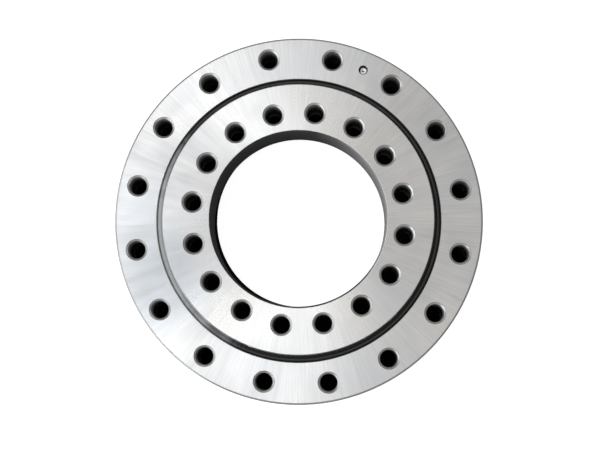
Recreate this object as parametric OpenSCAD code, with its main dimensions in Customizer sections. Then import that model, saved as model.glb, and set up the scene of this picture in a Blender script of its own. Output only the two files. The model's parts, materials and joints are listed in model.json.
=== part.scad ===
// Single-row four-point contact ball slewing ring without gear teeth.
// Z is the slewing axis. The outer ring stands on Z = 0 and the inner ring stands proud of its top.
// Both rings have the same section: one is the other turned half a turn about the ball's centre.

/* [Rings] */
// Outside diameter of the outer ring
outer_d = 304; // [302:1:306]
// Bore of the inner ring
bore_d = 144; // [142:1:146]
// Height of each ring
ring_h = 50; // [48:1:54]
// How far the inner ring stands up past the outer ring
ring_step = 10; // [8:1:12]
// Gap between the two rings, measured on the radius
ring_gap = 1; // [0.8:0.1:1.2]
// How far the inner ring is turned from the outer ring, in degrees
inner_turn = 3; // [0:0.5:11]
// Chamfer on the large outside edges and on the bore
edge_chamfer = 1.5; // [0.5:0.5:2]
// Chamfer on the edges beside the gap
gap_chamfer = 0.5; // [0.2:0.1:0.8]

/* [Bolt holes] */
// Bolt circle of the outer ring
outer_pcd = 272; // [271:1:273]
// Bolt circle of the inner ring
inner_pcd = 176; // [175:1:177]
// Number of bolt holes in each ring
bolt_count = 16; // [12:4:16]
// Diameter of the bolt holes
bolt_d = 14; // [11:0.5:15]
// Chamfer at each mouth of the bolt holes
bolt_chamfer = 2; // [0.5:0.5:2.5]

/* [Raceway] */
// Diameter of the circle that the ball centres run on
race_d = 224; // [223:1:225]
// Diameter of the balls
ball_d = 20; // [19:0.5:20.5]
// Number of balls, each with a spacer beside it
ball_count = 28; // [24:1:28]
// Clearance between a ball and what it runs against
ball_play = 0.3; // [0.1:0.1:0.4]
// Extra radius of a raceway arc over the ball's own radius and clearance
race_ease = 0.5; // [0.3:0.1:0.6]
// Diameter of the spacers between the balls
spacer_d = 16.5; // [15:0.5:17]
// Length of a spacer along the raceway
spacer_l = 12; // [10:0.5:12]
// Grease hole through a spacer
spacer_bore = 5; // [3:0.5:6]

/* [Seals] */
// Width of the recess that holds a seal, measured from the ring's face at the gap
recess_w = 4.85; // [4.8:0.05:5]
// Depth of that recess
recess_depth = 7.5; // [7.4:0.1:8]
// Clearance between a seal's lip and the other ring
lip_play = 0.3; // [0.1:0.1:0.4]

/* [Loading plug] */
// Diameter of the plug in the hole that the balls are loaded through
plug_d = 22; // [21.5:0.5:23]
// Clearance round the plug
plug_play = 0.05; // [0.02:0.01:0.1]
// How far the plug's end lies inside the rim
plug_sink = 0.6; // [0.4:0.1:1]
// Small-end diameter of the taper pin that locks the plug
pin_d = 6; // [5:0.5:7]
// Length of the taper pin
pin_l = 35; // [32:1:36]
// How far the taper pin's end lies below the outer ring's top face
pin_sink = 2.5; // [1:0.5:3]
// Thread diameter of the tapped hole that the plug is drawn out by
draw_hole_d = 8; // [5:1:8]
// Depth of that hole
draw_hole_l = 10; // [8:0.5:11]

/* [Grease nipples] */
// Diameter of the nipple's threaded shank
nipple_d = 10; // [8:0.5:10]
// Size across the flats of its hexagonal head
nipple_af = 11; // [11:0.5:12]
// Depth of the pocket that the head sits in
pocket_depth = 6.5; // [6:0.5:8]
// Diameter of that pocket
pocket_d = 17; // [15:0.5:19]
// Diameter of the duct from the nipple to the raceway
duct_d = 5; // [3:0.5:6]
// Diameter of the check ball
check_d = 3.2; // [3:0.1:3.3]

/* [Hidden] */
$fn = 96;
ring_fn = 240;

race_r = race_d / 2;
ball_z = (ring_h + ring_step) / 2;
outer_w = outer_d / 2 - race_r;
inner_w = race_r - bore_d / 2;

// How far shapes run into each other to join or cut cleanly, and how far a cutter runs past a face
eps = 0.01;
past = 1;

// Raceway arcs: a ball touches each one at 45 degrees, and the arc's centre lies across from there
contact_angle = 45;
race_arc_r = ball_d / 2 + ball_play + race_ease;
race_shift = race_ease * cos(contact_angle);

// The plug and the grease nipples lie midway between bolt holes of the outer ring
bolt_pitch = 360 / bolt_count;
nipple_angles = [90, 270];
plug_angle = nipple_angles[0] - bolt_pitch;

// Seal section, measured from the ball's centre: out across the recess, and up to the ring's face
seal_clear = 0.05;
face_y = ring_h - ball_z;
floor_y = face_y - recess_depth;
wall_x = ring_gap / 2 + recess_w;
groove_w = 2.25;
groove_y = floor_y + 1.1;
groove_h = 2.6;
foot_clear = 0.15;
seal_top_y = floor_y + 3.9;
seal_in_x = ring_gap / 2 + 0.6;
crown_r = 1.55;
crown_x = 2.95;
lip_x = lip_play - ring_gap / 2;
lip_y = floor_y + 5.1;
lip_t = 0.9;
lip_root_y = floor_y + 1.6;
lip_root_w = 1;

// Taper pin, the mouth of its hole in the outer ring's top face, and the plug's draw hole
pin_taper = 1 / 50;
pin_top_d = pin_d + pin_l * pin_taper;
pin_mouth_clear = 0.1;
pin_mouth_chamfer = 0.45;
pin_hole_spare = 2;
pin_dimple_d = 3;
pin_dimple_h = 0.8;
pin_edge = 0.5;
draw_hole_chamfer = 1;

// Grease nipple, measured along its own axis from the pocket's floor towards the outside
nipple_corners = nipple_af / cos(30);
shank_l = 8;
tapped_l = 11;
head_l = 4.5;
head_bevel = 0.6;
funnel_d = 7;
funnel_l = 2.2;
throat_d = 2;
throat_l = 1;
chamber_d = 4;
outlet_d = 2;
outlet_l = 1.2;
seat_angle = 45;
seat_gap = 0.03;
seat_y = head_l - funnel_l - throat_l;
seat_apex_y = seat_y + throat_d / 2;
seat_l = (chamber_d - throat_d) / 2;
check_y = seat_apex_y - (check_d / 2 + seat_gap) / sin(seat_angle);
pocket_r = outer_d / 2 - pocket_depth;

// Spring under the check ball
wire_d = 0.4;
coil_r = 1.3;
coil_turns = 6;
coil_steps = 12;
wire_sides = 6;
spring_gap = 0.03;
spring_low_y = outlet_l - shank_l + wire_d / 2 + spring_gap;
ball_reach = check_d / 2 + wire_d / 2 + spring_gap;
spring_high_y = check_y - sqrt(ball_reach * ball_reach - coil_r * coil_r);

STEEL = [0.75, 0.76, 0.77];
BEARING_STEEL = [0.85, 0.86, 0.88];
RUBBER = [0.09, 0.09, 0.09];
NYLON = [0.90, 0.88, 0.80];
ZINC = [0.80, 0.78, 0.66];
SPRING_STEEL = [0.55, 0.56, 0.58];

BALLS = [for (i = [1:ball_count]) str("ball_", i < 10 ? "0" : "", i)];

// ---- Sections, drawn round the ball's centre with x outwards and y up ----

module ring_outline(width) {
    polygon([
        [ring_gap / 2 + gap_chamfer, -ball_z],
        [width - edge_chamfer, -ball_z],
        [width, -ball_z + edge_chamfer],
        [width, face_y - edge_chamfer],
        [width - edge_chamfer, face_y],
        [wall_x + gap_chamfer, face_y],
        [wall_x, face_y - gap_chamfer],
        [wall_x, floor_y],
        [ring_gap / 2, floor_y],
        [ring_gap / 2, -ball_z + gap_chamfer]
    ]);
}

module raceway_section() {
    intersection_for (side = [-1, 1])
        translate([-race_shift, side * race_shift]) circle(race_arc_r);
}

module ring_section(width) {
    difference() {
        ring_outline(width);
        raceway_section();
        translate([wall_x - eps, groove_y]) square([groove_w + eps, groove_h]);
    }
}

module seal_section() {
    foot_x = wall_x - seal_clear - eps;
    translate([seal_in_x, floor_y + seal_clear])
        square([wall_x - seal_clear - seal_in_x, seal_top_y - floor_y - seal_clear]);
    translate([foot_x, groove_y + foot_clear])
        square([groove_w - foot_clear, groove_h - 2 * foot_clear]);
    translate([crown_x, seal_top_y]) circle(crown_r);
    polygon([
        [lip_x, lip_y],
        [lip_x, lip_y - lip_t],
        [seal_in_x + eps, lip_root_y],
        [seal_in_x + lip_root_w, seal_top_y - eps]
    ]);
}

// ---- Placing ----

module about_axis() {
    rotate_extrude($fn = ring_fn) translate([race_r, 0]) children();
}

module outer_revolve() {
    translate([0, 0, ball_z]) about_axis() children();
}

module inner_revolve() {
    translate([0, 0, ball_z]) about_axis() rotate(180) children();
}

// Lays local Z out along a radius at the given angle, at the ball's height
module radial(angle, distance = 0) {
    rotate([0, 0, angle]) translate([distance, 0, ball_z]) rotate([0, 90, 0]) children();
}

module at_ball(index) {
    rotate([0, 0, (index + 0.5) * 360 / ball_count]) translate([race_r, 0, ball_z]) children();
}

// ---- Cutters ----

module chamfered_hole(diameter, length, chamfer) {
    cylinder(d = diameter, h = length);
    translate([0, 0, -eps])
        cylinder(d1 = diameter + 2 * chamfer + 2 * eps, d2 = diameter, h = chamfer + eps);
    translate([0, 0, length - chamfer])
        cylinder(d1 = diameter, d2 = diameter + 2 * chamfer + 2 * eps, h = chamfer + eps);
}

module bolt_holes(pcd, turn, base_z) {
    for (i = [0:bolt_count - 1])
        rotate([0, 0, turn + (i + 0.5) * bolt_pitch])
            translate([pcd / 2, 0, base_z]) {
                chamfered_hole(bolt_d, ring_h, bolt_chamfer);
                translate([0, 0, -eps]) cylinder(d = bolt_d, h = ring_h + 2 * eps);
            }
}

module plug_hole() {
    radial(plug_angle, race_r) cylinder(d = plug_d + 2 * plug_play, h = outer_w + past);
}

// Taper pin's hole, which runs on a little past the pin's small end
module pin_hole() {
    low_z = ring_h - pin_sink - pin_l;
    rotate([0, 0, plug_angle]) translate([outer_pcd / 2, 0, 0]) {
        translate([0, 0, low_z]) cylinder(d1 = pin_d, d2 = pin_top_d, h = pin_l);
        translate([0, 0, low_z - pin_hole_spare]) cylinder(d = pin_d, h = pin_hole_spare + eps);
        translate([0, 0, ring_h - pin_sink]) cylinder(d = pin_top_d + pin_mouth_clear, h = pin_sink + eps);
        translate([0, 0, ring_h - pin_mouth_chamfer])
            cylinder(
                d1 = pin_top_d + pin_mouth_clear,
                d2 = pin_top_d + pin_mouth_clear + 2 * pin_mouth_chamfer + 2 * eps,
                h = pin_mouth_chamfer + eps
            );
    }
}

module nipple_hole(angle) {
    radial(angle, pocket_r) {
        cylinder(d = pocket_d, h = pocket_depth + past);
        translate([0, 0, -tapped_l]) cylinder(d = nipple_d, h = tapped_l + eps);
        translate([0, 0, race_r - pocket_r]) cylinder(d = duct_d, h = pocket_r - race_r - tapped_l + eps);
    }
}

// ---- Sub-parts ----

module outer_ring() {
    color(STEEL) difference() {
        outer_revolve() ring_section(outer_w);
        bolt_holes(outer_pcd, 0, 0);
        plug_hole();
        pin_hole();
        for (angle = nipple_angles) nipple_hole(angle);
    }
}

module inner_ring() {
    color(STEEL) difference() {
        inner_revolve() ring_section(inner_w);
        bolt_holes(inner_pcd, inner_turn, ring_step);
    }
}

module upper_seal() {
    color(RUBBER) outer_revolve() seal_section();
}

module lower_seal() {
    color(RUBBER) inner_revolve() seal_section();
}

// Fills the loading hole from the raceway to just inside the rim, and carries a stretch of the raceway
module loading_plug() {
    color(BEARING_STEEL) difference() {
        intersection() {
            radial(plug_angle, race_r) cylinder(d = plug_d, h = outer_w + past);
            outer_revolve() ring_section(outer_w - plug_sink);
        }
        pin_hole();
        radial(plug_angle, outer_d / 2 - plug_sink - draw_hole_l) {
            cylinder(d = draw_hole_d, h = draw_hole_l + past);
            translate([0, 0, draw_hole_l - draw_hole_chamfer])
                cylinder(
                    d1 = draw_hole_d,
                    d2 = draw_hole_d + 4 * draw_hole_chamfer,
                    h = 2 * draw_hole_chamfer
                );
        }
    }
}

module taper_pin() {
    top_z = ring_h - pin_sink;
    color(BEARING_STEEL) rotate([0, 0, plug_angle]) translate([outer_pcd / 2, 0, 0]) difference() {
        intersection() {
            translate([0, 0, top_z - pin_l]) cylinder(d1 = pin_d, d2 = pin_top_d, h = pin_l);
            translate([0, 0, top_z - pin_l])
                cylinder(d1 = pin_d + 2 * pin_l - 2 * pin_edge, d2 = pin_top_d - 2 * pin_edge, h = pin_l);
        }
        translate([0, 0, top_z - pin_dimple_h]) cylinder(d1 = 0, d2 = pin_dimple_d, h = pin_dimple_h + eps);
    }
}

module ball(index) {
    color(BEARING_STEEL) at_ball(index) sphere(d = ball_d);
}

// One spacer between two balls, hollowed at both ends to their shape
module spacer() {
    reach = race_r * sin(180 / ball_count);
    middle_r = race_r * cos(180 / ball_count);
    translate([middle_r, 0, ball_z]) rotate([90, 0, 0]) difference() {
        cylinder(d = spacer_d, h = spacer_l, center = true);
        cylinder(d = spacer_bore, h = spacer_l + 2 * past, center = true);
        for (side = [-1, 1]) translate([0, 0, side * reach]) sphere(d = ball_d + 2 * ball_play);
    }
}

module ball_spacers() {
    color(NYLON) for (i = [0:ball_count - 1]) rotate([0, 0, i * 360 / ball_count]) spacer();
}

module grease_nipple(angle) {
    color(ZINC) radial(angle, pocket_r) difference() {
        union() {
            translate([0, 0, -shank_l]) cylinder(d = nipple_d - 2 * plug_play, h = shank_l + eps);
            intersection() {
                cylinder(d = nipple_corners, h = head_l, $fn = 6);
                cylinder(d1 = nipple_corners + 2 * head_l, d2 = nipple_af - head_bevel, h = head_l);
            }
        }
        translate([0, 0, head_l - funnel_l]) cylinder(d1 = throat_d, d2 = funnel_d, h = funnel_l + eps);
        translate([0, 0, seat_y - eps]) cylinder(d = throat_d, h = throat_l + 2 * eps);
        translate([0, 0, seat_y - seat_l]) cylinder(d1 = chamber_d, d2 = throat_d, h = seat_l);
        translate([0, 0, outlet_l - shank_l])
            cylinder(d = chamber_d, h = seat_y - seat_l - outlet_l + shank_l + eps);
        translate([0, 0, -shank_l - past]) cylinder(d = outlet_d, h = outlet_l + 2 * past);
    }
}

module nipple_check_ball(angle) {
    color(BEARING_STEEL) radial(angle, pocket_r) translate([0, 0, check_y]) sphere(d = check_d);
}

// Points of the wire's rings along the coil, one ring of wire_sides points per step
function coil_points() = [
    for (step = [0:coil_turns * coil_steps])
        let (turn = 360 * step / coil_steps)
        let (rise = spring_low_y + (spring_high_y - spring_low_y) * step / (coil_turns * coil_steps))
        for (side = [0:wire_sides - 1])
            let (round = 360 * side / wire_sides)
            let (out = coil_r + wire_d / 2 * cos(round))
            [out * cos(turn), out * sin(turn), rise + wire_d / 2 * sin(round)]
];

function coil_sides() = [
    for (step = [0:coil_turns * coil_steps - 1])
        for (side = [0:wire_sides - 1])
            let (here = step * wire_sides)
            let (next = (side + 1) % wire_sides)
            [here + side, here + side + wire_sides, here + next + wire_sides, here + next]
];

module nipple_spring(angle) {
    last = coil_turns * coil_steps * wire_sides;
    first_end = [for (side = [0:wire_sides - 1]) side];
    last_end = [for (side = [wire_sides - 1:-1:0]) last + side];
    color(SPRING_STEEL) radial(angle, pocket_r)
        polyhedron(points = coil_points(), faces = concat(coil_sides(), [first_end], [last_end]));
}

outer_ring();
inner_ring();
upper_seal();
lower_seal();
loading_plug();
taper_pin();
ball_spacers();
grease_nipple(nipple_angles[0]);  // grease_nipple_1
grease_nipple(nipple_angles[1]);  // grease_nipple_2
nipple_check_ball(nipple_angles[0]);  // nipple_check_ball_1
nipple_check_ball(nipple_angles[1]);  // nipple_check_ball_2
nipple_spring(nipple_angles[0]);  // nipple_spring_1
nipple_spring(nipple_angles[1]);  // nipple_spring_2
for (i = [0:ball_count - 1]) ball(i);
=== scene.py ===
import json
import math

import bmesh
import bpy
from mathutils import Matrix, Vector


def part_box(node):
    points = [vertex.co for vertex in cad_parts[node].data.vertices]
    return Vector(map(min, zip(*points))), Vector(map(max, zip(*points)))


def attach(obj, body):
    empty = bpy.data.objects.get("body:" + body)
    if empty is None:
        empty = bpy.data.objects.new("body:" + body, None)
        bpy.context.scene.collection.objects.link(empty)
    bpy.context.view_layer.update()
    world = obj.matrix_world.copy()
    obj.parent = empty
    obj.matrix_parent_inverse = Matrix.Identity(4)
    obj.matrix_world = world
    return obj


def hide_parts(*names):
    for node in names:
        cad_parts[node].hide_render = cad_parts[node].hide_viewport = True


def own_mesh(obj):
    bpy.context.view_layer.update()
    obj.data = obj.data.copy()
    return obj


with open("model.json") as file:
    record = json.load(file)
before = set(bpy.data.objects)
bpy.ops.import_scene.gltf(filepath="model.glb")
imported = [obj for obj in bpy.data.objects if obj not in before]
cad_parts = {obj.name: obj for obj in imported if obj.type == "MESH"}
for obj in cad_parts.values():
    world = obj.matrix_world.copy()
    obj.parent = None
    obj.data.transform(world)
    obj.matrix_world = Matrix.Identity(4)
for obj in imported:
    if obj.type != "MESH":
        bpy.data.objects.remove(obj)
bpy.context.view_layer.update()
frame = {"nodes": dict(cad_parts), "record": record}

# ---- Sizes, in metres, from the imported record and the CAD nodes' boxes ----

MM = 0.001
UP = Vector((0, 0, 1))
mounts = {mount["name"]: mount for mount in frame["record"]["mounts"]}
rim_r = mounts["outer_rim"]["dims"]["r_mm"] * MM
bore_r = mounts["bore"]["dims"]["r_mm"] * MM
hole_r = mounts["outer_bolts"]["dims"]["hole_r_mm"] * MM
hole_count = mounts["outer_bolts"]["dims"]["count"]
outer_pitch_r = mounts["outer_bolts"]["dims"]["pcd_mm"] * MM / 2
inner_pitch_r = mounts["inner_bolts"]["dims"]["pcd_mm"] * MM / 2
pin_low, pin_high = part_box("taper_pin")
pin_top = Vector(((pin_low.x + pin_high.x) / 2, (pin_low.y + pin_high.y) / 2, pin_high.z))
ball_centre = sum(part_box("ball_01"), Vector()) / 2
ball_centre_z = ball_centre.z
race_r = math.hypot(ball_centre.x, ball_centre.y)

# As in the CAD source: the inner bolt circle's turn against the outer one, and the number of balls
inner_turn = math.radians(3)
ball_count = 28


# ---- Materials: a short way to write node trees ----

class Paint:
    """One procedural material. Its methods add a node and return the output to plug in elsewhere."""

    def __init__(self, name):
        self.material = bpy.data.materials.new(name)
        self.material.use_nodes = True
        self.tree = self.material.node_tree
        self.surface = self.tree.nodes["Principled BSDF"]

    def add(self, kind, **settings):
        node = self.tree.nodes.new(kind)
        for name, value in settings.items():
            setattr(node, name, value)
        return node

    def plug(self, value, socket):
        if isinstance(value, bpy.types.NodeSocket):
            self.tree.links.new(value, socket)
        else:
            socket.default_value = value

    def set(self, **values):
        """Sets the main shader's sockets, whose names are written with _ for a space."""
        for name, value in values.items():
            self.plug(value, self.surface.inputs[name.replace("_", " ")])

    def math(self, operation, first, second):
        node = self.add("ShaderNodeMath", operation=operation)
        self.plug(first, node.inputs[0])
        self.plug(second, node.inputs[1])
        return node.outputs[0]

    def plus(self, first, second):
        return self.math("ADD", first, second)

    def times(self, first, second):
        return self.math("MULTIPLY", first, second)

    def vector(self, operation, first, second=(0, 0, 0)):
        """Vector maths. A length or a dot product comes out as a number."""
        node = self.add("ShaderNodeVectorMath", operation=operation)
        self.plug(first, node.inputs[0])
        self.plug(second, node.inputs[1])
        return node.outputs["Value" if operation in ("LENGTH", "DOT_PRODUCT") else "Vector"]

    def place(self):
        return self.add("ShaderNodeTexCoord").outputs["Object"]

    def split(self, vector):
        node = self.add("ShaderNodeSeparateXYZ")
        self.plug(vector, node.inputs[0])
        return node.outputs

    def join(self, x, y, z):
        node = self.add("ShaderNodeCombineXYZ")
        for value, socket in zip((x, y, z), node.inputs):
            self.plug(value, socket)
        return node.outputs[0]

    def noise(self, vector, scale, detail=2.0, roughness=0.5, distortion=0.0):
        node = self.add("ShaderNodeTexNoise")
        self.plug(vector, node.inputs["Vector"])
        self.plug(scale, node.inputs["Scale"])
        self.plug(detail, node.inputs["Detail"])
        self.plug(roughness, node.inputs["Roughness"])
        self.plug(distortion, node.inputs["Distortion"])
        return node.outputs["Fac"]

    def spread(self, value, low, high, to_low=0.0, to_high=1.0):
        """Maps low..high onto to_low..to_high and holds it there."""
        node = self.add("ShaderNodeMapRange")
        for name, number in zip(("Value", "From Min", "From Max", "To Min", "To Max"),
                                (value, low, high, to_low, to_high)):
            self.plug(number, node.inputs[name])
        return node.outputs[0]

    def vary(self, noise, to_low=0.0, to_high=1.0):
        """Spreads a noise, which lies mostly between 0.3 and 0.7, over a range."""
        return self.spread(noise, 0.3, 0.7, to_low, to_high)

    def blend(self, share, first, second):
        """Mixes two colours."""
        node = self.add("ShaderNodeMix", data_type="RGBA")
        self.plug(share, node.inputs["Factor"])
        for colour, socket in ((first, node.inputs[6]), (second, node.inputs[7])):
            self.plug((*colour, 1.0) if isinstance(colour, tuple) else colour, socket)
        return node.outputs[2]

    def bump(self, height, depth, strength):
        node = self.add("ShaderNodeBump")
        self.plug(height, node.inputs["Height"])
        self.plug(depth, node.inputs["Distance"])
        self.plug(strength, node.inputs["Strength"])
        return node.outputs[0]

    def around_axis(self):
        """Gives the shader a direction that runs round the slewing axis, for brushed highlights."""
        node = self.add("ShaderNodeTangent", direction_type="RADIAL", axis="Z")
        self.plug(node.outputs[0], self.surface.inputs["Tangent"])

    def polar(self):
        """(distance from the slewing axis, height, direction from the axis as a unit vector)."""
        place = self.place()
        flat = self.vector("MULTIPLY", place, (1, 1, 0))
        return self.vector("LENGTH", flat), self.split(place)[2], self.vector("NORMALIZE", flat)

    def depth(self, height, low, high):
        """How far a height lies in from the nearer of two levels."""
        from_high = self.math("SUBTRACT", high, height)
        from_low = self.math("SUBTRACT", height, low)
        return self.math("MINIMUM", from_high, from_low)

    def towards(self, direction, azimuth):
        """Cosine of the angle between a flat direction and an azimuth in degrees."""
        there = math.radians(azimuth)
        return self.vector("DOT_PRODUCT", direction, (math.cos(there), math.sin(there), 0.0))


def grey(level):
    return (level, level, level)


def radial_marks(paint, distance, direction, seed):
    """Three noises, from fine to broad, drawn out along each radius."""
    marks = []
    for scale, stretch in ((300.0, 0.12), (130.0, 0.18), (26.0, 0.5)):
        along = paint.join(0.0, 0.0, paint.times(distance, stretch))
        along = paint.vector("ADD", paint.vector("ADD", direction, along), (seed, 0.0, 0.0))
        marks.append(paint.noise(along, scale, 2.0, 0.6))
    return marks


def ground_colour(paint, fine, middle, smear, patch):
    """Bright grinding marks, with bluish and warmer patches and duller smears."""
    tone = paint.plus(paint.times(fine, 0.35), paint.times(middle, 0.65))
    bright = paint.blend(paint.spread(tone, 0.32, 0.68), (0.60, 0.60, 0.605), (0.75, 0.75, 0.755))
    bluish = paint.spread(patch, 0.5, 0.66, 0.0, 0.5)
    tinted = paint.blend(bluish, bright, (0.62, 0.65, 0.69))
    warmer = paint.spread(patch, 0.34, 0.48, 0.45, 0.0)
    tinted = paint.blend(warmer, tinted, (0.71, 0.695, 0.665))
    duller = paint.spread(smear, 0.45, 0.75, 0.0, 0.35)
    return paint.blend(duller, tinted, (0.62, 0.625, 0.63))


def painted_dim_reflection(paint, smear):
    """Share of a painted dim reflection: a darker bluish tone in one ragged spot on the left."""
    spot = Vector((-108, -46, 55)) * MM
    away = paint.vector("LENGTH", paint.vector("SUBTRACT", paint.place(), tuple(spot)))
    ragged = paint.plus(away, paint.vary(smear, -8 * MM, 8 * MM))
    return paint.spread(ragged, 20 * MM, 45 * MM, 0.6, 0.0)


def ground_steel(name, seed):
    """Face-ground steel: fine marks along each radius, broad patches and smears, with a painted dim
    reflection in one spot and a painted bluish reflection towards -X.
    """
    paint = Paint(name)
    distance, _, direction = paint.polar()
    fine, middle, broad = radial_marks(paint, distance, direction, seed)
    where = paint.vector("ADD", paint.place(), (0.0, 0.0, seed))
    smear = paint.noise(where, 30.0, 3.0, 0.55, 0.6)
    patch = paint.noise(where, 11.0, 2.0, 0.5, 0.8)
    colour = ground_colour(paint, fine, middle, smear, patch)
    # Painted bluish reflection: the steel is lighter and bluer on the side towards the left window.
    painted_reflection = paint.spread(paint.towards(direction, azimuth=195), 0.8, 0.95, 0.0, 0.6)
    colour = paint.blend(painted_reflection, colour, (0.81, 0.84, 0.89))
    # Painted dim reflection: a darker bluish spot on the left.
    colour = paint.blend(painted_dim_reflection(paint, smear), colour, (0.55, 0.59, 0.64))
    rough = paint.plus(paint.vary(broad, 0.26, 0.32), paint.spread(smear, 0.4, 0.7, 0.0, 0.05))
    rough = paint.plus(rough, paint.spread(patch, 0.35, 0.65, -0.03, 0.05))
    paint.set(Base_Color=colour, Metallic=1.0, Roughness=rough, Anisotropic=1.0,
              Normal=paint.bump(middle, 0.02 * MM, 0.15))
    paint.around_axis()
    return paint.material


def turned_steel(name, dark, light, roughness, lines=2600.0, depth_shade=None, metallic=1.0):
    """Lathe-turned steel: fine lines round the axis.

    With depth_shade = (low, high, unshaded, fully_shaded, share) a painted shade darkens it: it is unshaded
    down to the depth unshaded in from the nearer of the heights low and high. From the depth fully_shaded on
    it keeps only that share of its brightness.
    """
    paint = Paint(name)
    distance, height, _ = paint.polar()
    across = paint.join(distance, height, 0.0)
    feed = paint.noise(across, lines, 1.0, 0.5)
    wide = paint.noise(across, lines / 9, 2.0, 0.5)
    smear = paint.noise(paint.place(), 45.0, 3.0, 0.6, 0.4)
    colour = paint.blend(paint.vary(wide), dark, light)
    if depth_shade:
        low, high, unshaded, fully_shaded, share = depth_shade
        # Painted shade: darker with depth in from the nearer end face, as deep in a hole.
        ragged = paint.plus(height, paint.vary(smear, -0.2 * MM, 0.2 * MM))
        painted_darkening = paint.spread(paint.depth(ragged, low, high), unshaded, fully_shaded)
        colour = paint.blend(painted_darkening, colour, tuple(share * part for part in dark))
    rough = paint.plus(roughness - 0.04, paint.spread(smear, 0.35, 0.7, 0.0, 0.12))
    paint.set(Base_Color=colour, Metallic=metallic, Roughness=rough,
              Anisotropic=0.5, Anisotropic_Rotation=0.25,
              Normal=paint.bump(feed, 0.02 * MM, 0.5))
    paint.around_axis()
    return paint.material


def chamfered_steel(name, low, high):
    """A countersink's turned cone: bright, with a painted dark line at its outer edge and painted shade
    towards the hole.
    """
    paint = Paint(name)
    distance, height, _ = paint.polar()
    feed = paint.noise(paint.join(distance, height, 0.0), 2600.0, 1.0, 0.5)
    smear = paint.noise(paint.place(), 90.0, 3.0, 0.6)
    depth = paint.plus(paint.depth(height, low, high), paint.vary(smear, -0.1 * MM, 0.1 * MM))
    # Painted dark line along the outer edge, and painted shade deeper towards the hole.
    edge_line = paint.spread(depth, 0.1 * MM, 0.4 * MM, 0.8, 0.0)
    deep_shade = paint.spread(depth, 1.4 * MM, 1.7 * MM)
    painted_darkening = paint.math("MAXIMUM", edge_line, deep_shade)
    steel = paint.blend(paint.vary(smear), grey(0.54), grey(0.66))
    paint.set(Base_Color=paint.blend(painted_darkening, steel, grey(0.09)), Metallic=0.9,
              Roughness=paint.vary(smear, 0.3, 0.38), Normal=paint.bump(feed, 0.02 * MM, 0.4))
    return paint.material


def dark_bore_steel(name, edge_height):
    """Steel with a dull near-black tone, lighter on the side towards +X as a painted reflection of the
    light, and with a painted bright highlight along its top edge.
    """
    paint = Paint(name)
    distance, height, direction = paint.polar()
    feed = paint.noise(paint.join(distance, height, 0.0), 1500.0, 2.0, 0.5)
    cloud = paint.noise(paint.place(), 60.0, 4.0, 0.6)
    colour = paint.blend(paint.vary(cloud), (0.035, 0.035, 0.036), grey(0.052))
    # Painted reflection: lighter on the side whose walls face the left window.
    lit_side = paint.plus(paint.towards(direction, azimuth=15), paint.vary(cloud, -0.05, 0.05))
    colour = paint.blend(paint.spread(lit_side, 0.45, 0.88), colour, grey(0.24))
    # Painted highlight: a thin bright line along the top edge.
    ragged = paint.plus(height, paint.vary(cloud, -0.1 * MM, 0.1 * MM))
    painted_edge_highlight = paint.spread(ragged, edge_height - 0.3 * MM, edge_height - 0.1 * MM)
    colour = paint.blend(painted_edge_highlight, colour, grey(0.86))
    paint.set(Base_Color=colour, Roughness=paint.vary(cloud, 0.6, 0.7), Specular_IOR_Level=0.1,
              Normal=paint.bump(feed, 0.02 * MM, 0.5))
    return paint.material


def rubber(name):
    """Black nitrile rubber with a fine extruded grain, and a pale painted sheen towards -X."""
    paint = Paint(name)
    distance, height, direction = paint.polar()
    grain = paint.noise(paint.place(), 900.0, 3.0, 0.6)
    die_lines = paint.noise(paint.join(distance, height, 0.0), 2200.0, 1.0, 0.5)
    patches = paint.noise(direction, 9.0, 3.0, 0.6)
    # Painted sheen: paler on the side towards the left window, where the light falls.
    lit_side = paint.plus(paint.towards(direction, azimuth=193), paint.vary(patches, -0.08, 0.08))
    painted_sheen = paint.spread(lit_side, 0.6, 0.93)
    colour = paint.blend(paint.spread(grain, 0.35, 0.65), (0.007, 0.007, 0.008), (0.014, 0.014, 0.015))
    colour = paint.blend(painted_sheen, colour, (0.46, 0.47, 0.49))
    rough = paint.plus(paint.vary(patches, 0.34, 0.42), paint.vary(grain, 0.0, 0.04))
    relief = paint.plus(grain, paint.times(die_lines, 0.6))
    paint.set(Base_Color=colour, Roughness=rough, Specular_IOR_Level=0.5,
              Normal=paint.bump(relief, 0.04 * MM, 0.5))
    return paint.material


def plain_metal(name, dark, light, roughness, scale=300.0, metallic=1.0):
    """Small parts: a mottled tone with fine scratches. With metallic at 0 it serves for nylon too."""
    paint = Paint(name)
    mottle = paint.noise(paint.place(), scale, 4.0, 0.6)
    flattened = paint.vector("MULTIPLY", paint.place(), (1.0, 1.0, 9.0))
    scratch = paint.noise(flattened, scale * 5, 2.0, 0.5)
    colour = paint.blend(paint.vary(mottle), dark, light)
    rough = paint.vary(mottle, roughness - 0.05, roughness + 0.07)
    paint.set(Base_Color=colour, Metallic=metallic, Roughness=rough,
              Normal=paint.bump(scratch, 0.01 * MM, 0.4))
    return paint.material


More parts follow.
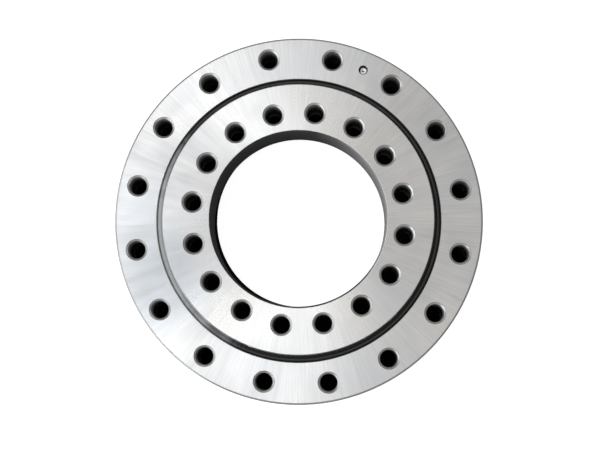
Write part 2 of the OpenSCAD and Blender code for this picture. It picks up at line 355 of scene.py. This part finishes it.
def pin_steel(name):
    """The ground end of the taper pin, with a painted shadow round its edge, widest on the upper left."""
    paint = Paint(name)
    # Painted shadow: dark round the pin's edge, off centre so that it is widest where the hole's wall shades
    # the sunk pin.
    unshaded_centre = pin_top + Vector((0.5, -0.6, 0)) * MM
    away = paint.vector("SUBTRACT", paint.place(), tuple(unshaded_centre))
    away = paint.vector("LENGTH", paint.vector("MULTIPLY", away, (1, 1, 0)))
    ragged = paint.plus(away, paint.vary(paint.noise(paint.place(), 700.0), -0.3 * MM, 0.3 * MM))
    mottle = paint.noise(paint.place(), 500.0, 3.0, 0.6)
    unshaded = paint.blend(paint.vary(mottle), (0.68, 0.68, 0.67), (0.85, 0.85, 0.84))
    painted_shadow = paint.spread(ragged, 2.4 * MM, 3 * MM)
    paint.set(Base_Color=paint.blend(painted_shadow, unshaded, grey(0.02)), Metallic=1.0,
              Roughness=paint.vary(mottle, 0.2, 0.3), Normal=paint.bump(mottle, 0.02 * MM, 0.5))
    return paint.material


# ---- Which finish each surface of a ring gets ----

# How level a face is, as the upright part of its normal: 1 is level, 0 is upright
LEVEL = 0.99
NEARLY_LEVEL = 0.95
HALF_LEVEL = 0.5
# How far from its axis the pin hole's surfaces reach, with a little to spare
PIN_HOLE_REACH = 4.3 * MM
# How far the chamfers reach from the walls of the bolt holes and the bore, with a little to spare
HOLE_CHAMFER = 2.1 * MM
BORE_CHAMFER = 1.45 * MM
# How close to a ring's lowest or highest level a ground face lies
FACE_SLACK = 0.1 * MM


def hole_distance(point, pitch_r, turn):
    """Distance of a point from the nearest bolt hole's axis."""
    step = 2 * math.pi / hole_count
    angle = math.atan2(point.y, point.x) - turn
    nearest = (math.floor(angle / step) + 0.5) * step + turn
    return math.hypot(point.x - pitch_r * math.cos(nearest), point.y - pitch_r * math.sin(nearest))


def finish_of(face, pitch_r, turn, bottom, top):
    level = abs(face.normal.z)
    if level < NEARLY_LEVEL:
        if (face.center - pin_top).xy.length < PIN_HOLE_REACH:
            return "pin_hole"
        if hole_distance(face.center, pitch_r, turn) < hole_r + HOLE_CHAMFER:
            return "chamfer" if level > HALF_LEVEL else "drilled"
    to_end = min(abs(face.center.z - bottom), abs(face.center.z - top))
    if level > LEVEL and to_end < FACE_SLACK:
        return "ground"
    if math.hypot(face.center.x, face.center.y) < bore_r + BORE_CHAMFER:
        return "bore"
    return "turned"


def finish_ring(node, ground, finishes, pitch_r, turn):
    ring = frame["nodes"][node]
    low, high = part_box(node)
    names = ["ground", *finishes]
    ring.data.materials.clear()
    for material in (ground, *finishes.values()):
        ring.data.materials.append(material)
    for face in ring.data.polygons:
        face.material_index = names.index(finish_of(face, pitch_r, turn, low.z, high.z))


def ring_finishes(ring, low, high):
    """The finishes of one ring, apart from its ground faces. low and high are its end faces' heights."""
    # Painted shade in the bolt holes: bright near the mouth, darker deeper in.
    hole_depth_shade = (low, high, 5 * MM, 24 * MM, 0.1)
    return {
        "turned": turned_steel("turned_steel_" + ring, grey(0.42), grey(0.52), 0.34),
        "chamfer": chamfered_steel("chamfered_steel_" + ring, low, high),
        "drilled": turned_steel("drilled_steel_" + ring, grey(0.26), grey(0.34), 0.5,
                                lines=1800.0, depth_shade=hole_depth_shade, metallic=0.3),
        # The pin hole's walls are near black: painted shade in the narrow hole above the sunk pin.
        "pin_hole": turned_steel("pin_hole_shade_" + ring, grey(0.05), grey(0.08), 0.4),
        "bore": dark_bore_steel("dark_bore_steel_" + ring, high),
    }


def finish_rings():
    rings = (("outer", outer_pitch_r, 0.0, 3.1), ("inner", inner_pitch_r, inner_turn, 7.7))
    for ring, pitch_r, turn, seed in rings:
        node = ring + "_ring"
        low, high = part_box(node)
        ground = ground_steel("ground_steel_" + ring, seed)
        finish_ring(node, ground, ring_finishes(ring, low.z, high.z), pitch_r, turn)


def finish_small_parts():
    finishes = {
        "loading_plug": plug_steel,
        "taper_pin": pin_steel("pin_steel"),
        "ball_spacers": plain_metal("spacer_nylon", (0.70, 0.68, 0.58), (0.80, 0.78, 0.68), 0.45,
                                    scale=200.0, metallic=0.0),
    }
    zinc = plain_metal("nipple_zinc", (0.55, 0.53, 0.44), (0.68, 0.66, 0.56), 0.3)
    polished = plain_metal("ball_steel", (0.78, 0.79, 0.80), (0.84, 0.85, 0.86), 0.09)
    for number in (1, 2):
        finishes[f"grease_nipple_{number}"] = zinc
        finishes[f"nipple_check_ball_{number}"] = polished
        finishes[f"nipple_spring_{number}"] = spring_wire
    for number in range(1, ball_count + 1):
        finishes[f"ball_{number:02d}"] = polished
    for node, material in finishes.items():
        part = frame["nodes"][node]
        part.data.materials.clear()
        part.data.materials.append(material)


plug_steel = turned_steel("plug_steel", grey(0.40), grey(0.5), 0.36)
spring_wire = plain_metal("spring_wire", (0.40, 0.41, 0.43), (0.5, 0.51, 0.53), 0.3)
finish_rings()
finish_small_parts()


# ---- Seals: the CAD section with a fuller crown, a curved lip and rounded corners ----

def arc(centre_x, centre_y, half_width, half_height, start, end, steps, fullness=2.0):
    """Points on a superellipse between two angles in degrees."""
    points = []
    for step in range(steps + 1):
        angle = math.radians(start + (end - start) * step / steps)
        cos, sin = math.cos(angle), math.sin(angle)
        points.append((centre_x + half_width * math.copysign(abs(cos) ** (2 / fullness), cos),
                       centre_y + half_height * math.copysign(abs(sin) ** (2 / fullness), sin)))
    return points


def corner(centre_x, centre_y, start):
    """A quarter turn of the radius that rounds the seal's square corners."""
    radius = 0.3
    return arc(centre_x, centre_y, radius, radius, start, start + 90, 4)


def seal_outline():
    """Closed section in millimetres: out from the ball circle, and up from the floor of the recess."""
    foot = [*corner(1.4, 0.35, 180), *corner(5.0, 0.35, 270), (5.3, 1.3)]
    flange = [*corner(7.1, 1.6, 270), *corner(7.1, 3.2, 0), (5.3, 3.5)]
    crown = arc(3.2, 3.45, 2.05, 1.95, 0, 158, 26, fullness=2.3)
    lip_outside = [(1.05, 4.35), (0.7, 4.6), (0.3, 4.9)]
    lip_tip = arc(-0.03, 4.93, 0.15, 0.15, 60, 200, 5)
    lip_inside = [(0.1, 4.55), (0.5, 3.9), (0.85, 3.1), (1.02, 2.2), (1.1, 1.4)]
    return [*foot, *flange, *crown, *lip_outside, *lip_tip, *lip_inside]


def make_piece(name, points, faces):
    """A smooth-shaded object from a closed surface, its normals turned outwards."""
    mesh = bpy.data.meshes.new(name)
    mesh.from_pydata(points, [], faces)
    shell = bmesh.new()
    shell.from_mesh(mesh)
    bmesh.ops.recalc_face_normals(shell, faces=shell.faces)
    shell.to_mesh(mesh)
    shell.free()
    mesh.polygons.foreach_set("use_smooth", [True] * len(faces))
    piece = bpy.data.objects.new(name, mesh)
    bpy.context.scene.collection.objects.link(piece)
    return piece


def lathe(name, outline, steps=480):
    """Revolves a closed outline of (radius, height), in metres, round the slewing axis."""
    count = len(outline)
    points = []
    for step in range(steps):
        angle = 2 * math.pi * step / steps
        points += [(r * math.cos(angle), r * math.sin(angle), z) for r, z in outline]
    faces = []
    for step in range(steps):
        this, following = step * count, (step + 1) % steps * count
        for index in range(count):
            after = (index + 1) % count
            faces.append((this + index, this + after, following + after, following + index))
    return make_piece(name, points, faces)


def make_seals():
    crown_top = max(y for _, y in seal_outline()) * MM
    floor_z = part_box("upper_seal")[1].z - crown_top
    rubber_finish = rubber("seal_rubber")
    for name, body, side in (("upper_seal", "outer", 1), ("lower_seal", "inner", -1)):
        outline = [(race_r + side * x * MM, ball_centre_z + side * (floor_z - ball_centre_z + y * MM))
                   for x, y in seal_outline()]
        piece = lathe(name + "_rubber", outline)
        piece.data.materials.append(rubber_finish)
        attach(piece, body)
        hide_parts(name)


make_seals()


# ---- Coils that lie along a radius of the bearing: the nipples' springs and the plug's screw thread ----

def wind(name, section, angle, start, rises, steps_per_turn):
    """Sweeps a closed section of (distance from the coil's axis, rise) along a coil.

    The coil's axis is the bearing's radius at the angle, from start outwards at the balls' height, and
    rises holds how far along it the coil has come after each step. All sizes are in metres.
    """
    out = Vector((math.cos(angle), math.sin(angle), 0))
    sideways = Vector((-out.y, out.x, 0))
    origin = out * start + UP * ball_centre_z
    points, faces = [], []
    for step, rise in enumerate(rises):
        turn = 2 * math.pi * step / steps_per_turn
        across = sideways * math.cos(turn) + UP * math.sin(turn)
        points += [origin + out * (rise + along) + across * distance for distance, along in section]
    count = len(section)
    for step in range(len(rises) - 1):
        here = step * count
        for side in range(count):
            after = (side + 1) % count
            faces.append((here + side, here + after, here + count + after, here + count + side))
    last = (len(rises) - 1) * count
    faces += [tuple(reversed(range(count))), tuple(range(last, last + count))]
    return make_piece(name, points, faces)


def spring_rises(length, wire_d, turns, steps):
    """How far along its axis a spring has come after each step. Its two end turns are closed up."""
    closed = wire_d * 1.05
    open_pitch = (length - 2 * closed) / (turns - 2)
    rises = [0.0]
    for step in range(turns * steps):
        end_turn = step < steps or step >= (turns - 1) * steps
        rises.append(rises[-1] + (closed if end_turn else open_pitch) / steps)
    return rises


def make_spring(number, side):
    """Round wire in the space of a nipple's CAD spring. side is 1 at +Y and -1 at -Y.

    The check ball pushes the outer end in, so the coil shortens by the ball's travel.
    """
    wire_r = 0.2 * MM
    wire_sides = 12
    turns = 7
    steps = 32
    node = f"nipple_spring_{number}"
    low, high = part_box(node)
    coil_r = (high.x - low.x) / 2 - wire_r
    free_length = high.y - low.y
    inner_end = min(abs(low.y), abs(high.y))
    section = []
    for wire_side in range(wire_sides):
        angle = 2 * math.pi * wire_side / wire_sides
        section.append((coil_r + math.cos(angle) * wire_r, math.sin(angle) * wire_r))
    rises = spring_rises(free_length - 2 * wire_r, 2 * wire_r, turns, steps)
    outwards = side * math.pi / 2
    piece = wind(f"nipple_spring_coil_{number}", section, outwards, inner_end + wire_r, rises, steps)
    piece.data.materials.append(spring_wire)
    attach(piece, "outer")
    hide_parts(node)
    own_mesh(piece)


def make_plug_thread():
    """The M8 thread that lines the plug's draw hole, a ridge standing in from the hole's plain wall."""
    pitch = 1.25 * MM
    wall_r = 4.02 * MM
    ridge_r = 3.35 * MM
    foot = 0.52 * MM
    crest = 0.12 * MM
    depth = 9.2 * MM
    turns = 6
    steps = 48
    section = [(wall_r, -foot), (ridge_r, -crest), (ridge_r, crest), (wall_r, foot)]
    rises = [pitch * step / steps for step in range(turns * steps + 1)]
    midway_between_holes = math.pi / 2 - 2 * math.pi / hole_count
    piece = wind("plug_thread", section, midway_between_holes, rim_r - depth, rises, steps)
    piece.data.materials.append(plug_steel)
    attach(piece, "outer")


make_spring(1, 1)
make_spring(2, -1)
make_plug_thread()


# ---- Studio ----

DAYLIGHT = (0.93, 0.97, 1.0)


def stage_mesh(name, points, faces, material, height):
    mesh = bpy.data.meshes.new(name)
    mesh.from_pydata(points, [], faces)
    mesh.materials.append(material)
    prop = bpy.data.objects.new(name, mesh)
    bpy.context.scene.collection.objects.link(prop)
    prop.location.z = height


def make_floor():
    """A matt grey floor that glows to the camera, so that it looks as white as a cut-out background."""
    paint = Paint("studio_floor")
    cloud = paint.noise(paint.place(), 3.0, 2.0, 0.5)
    seen = paint.add("ShaderNodeLightPath").outputs["Is Camera Ray"]
    paint.set(Base_Color=paint.blend(paint.vary(cloud), grey(0.48), grey(0.5)),
              Roughness=0.9, Specular_IOR_Level=0.0, Emission_Color=(1.0, 1.0, 1.0, 1.0),
              Emission_Strength=paint.times(seen, 0.88))
    reach = 4.0
    corners = [(-reach, -reach, 0), (reach, -reach, 0), (reach, reach, 0), (-reach, reach, 0)]
    stage_mesh("studio_floor", corners, [(0, 1, 2, 3)], paint.material, -0.2 * MM)


def make_shade_mat():
    """A black mat under the rings, a dark sheet standing in for the shade there, so that the bolt holes look
    dark.

    Its round hole is a little off centre, so that a thin crescent of it shows inside the bore, towards
    -X and -Y, as the contact shadow there.
    """
    paint = Paint("shade_mat")
    weave = paint.noise(paint.place(), 400.0, 3.0, 0.6)
    paint.set(Base_Color=paint.blend(weave, grey(0.006), grey(0.01)), Roughness=0.9,
              Specular_IOR_Level=0.0)
    hole_centre = Vector((2.5, 3.2, 0)) * MM
    inner_r = 73.4 * MM
    outer_r = 150 * MM
    steps = 240
    points, faces = [], []
    for step in range(steps):
        angle = 2 * math.pi * step / steps
        out = Vector((math.cos(angle), math.sin(angle), 0))
        points += [hole_centre + out * inner_r, out * outer_r]
        faces.append(tuple((2 * step + corner) % (2 * steps) for corner in (0, 1, 3, 2)))
    stage_mesh("shade_mat", points, faces, paint.material, -0.1 * MM)


def make_window(name, place, aim, width, height, power):
    lamp = bpy.data.lights.new(name, "AREA")
    lamp.shape = "RECTANGLE"
    lamp.size = width
    lamp.size_y = height
    lamp.energy = power
    lamp.color = DAYLIGHT
    light = bpy.data.objects.new(name, lamp)
    light.visible_camera = False
    light.location = place
    light.rotation_mode = "QUATERNION"
    light.rotation_quaternion = (Vector(aim) - Vector(place)).to_track_quat("-Z", "Y")
    bpy.context.scene.collection.objects.link(light)


def make_world(brightest, darkest, seen):
    """A pale room, brightest overhead and to the left, darkest low on the right, with an even backdrop."""
    world = bpy.data.worlds.new("studio")
    world.use_nodes = True
    nodes, links = world.node_tree.nodes, world.node_tree.links
    lit_side = nodes.new("ShaderNodeVectorMath")
    lit_side.operation = "DOT_PRODUCT"
    links.new(nodes.new("ShaderNodeTexCoord").outputs["Generated"], lit_side.inputs[0])
    lit_side.inputs[1].default_value = Vector((-0.4, -0.1, 0.9)).normalized()
    slope = nodes.new("ShaderNodeMapRange")
    links.new(lit_side.outputs["Value"], slope.inputs["Value"])
    for name, number in (("From Min", -0.2), ("From Max", 1.0), ("To Min", darkest), ("To Max", brightest)):
        slope.inputs[name].default_value = number
    mix = nodes.new("ShaderNodeMix")
    links.new(nodes.new("ShaderNodeLightPath").outputs["Is Camera Ray"], mix.inputs["Factor"])
    links.new(slope.outputs[0], mix.inputs["A"])
    mix.inputs["B"].default_value = seen
    background = nodes["Background"]
    background.inputs["Color"].default_value = (1.0, 0.98, 0.95, 1.0)
    links.new(mix.outputs["Result"], background.inputs["Strength"])
    bpy.context.scene.world = world


def make_camera(place, tilt_x, tilt_y, turn_z, focal_length):
    """A camera that looks down. Its turns about the axes are in degrees, its focal length in millimetres."""
    lens = bpy.data.cameras.new("camera")
    lens.lens = focal_length
    lens.clip_start = 0.01
    lens.clip_end = 20.0
    camera = bpy.data.objects.new("camera", lens)
    camera.location = place
    camera.rotation_mode = "YXZ"
    camera.rotation_euler = (math.radians(tilt_x), math.radians(tilt_y), math.radians(turn_z))
    bpy.context.scene.collection.objects.link(camera)
    bpy.context.scene.camera = camera


make_camera((0.03153, -0.11823, 1.3247), tilt_x=5.12, tilt_y=1.29, turn_z=0.69, focal_length=93.12)
make_floor()
make_shade_mat()
make_world(brightest=0.86, darkest=0.2, seen=0.95)
make_window("window_above", (-1.84, 0.13, 5.0), (-1.84, 0.13, 0.0), width=2.38, height=1.45, power=26.5)
make_window("window_behind", (-3.2, 1.8, 5.0), (-3.2, 1.8, 0.0), width=2.4, height=2.2, power=30.0)
make_window("window_left", (-1.8, -0.5, 0.8), (0, 0, 0.05), width=3.2, height=1.2, power=27.0)
bpy.context.scene.view_settings.view_transform = "Standard"
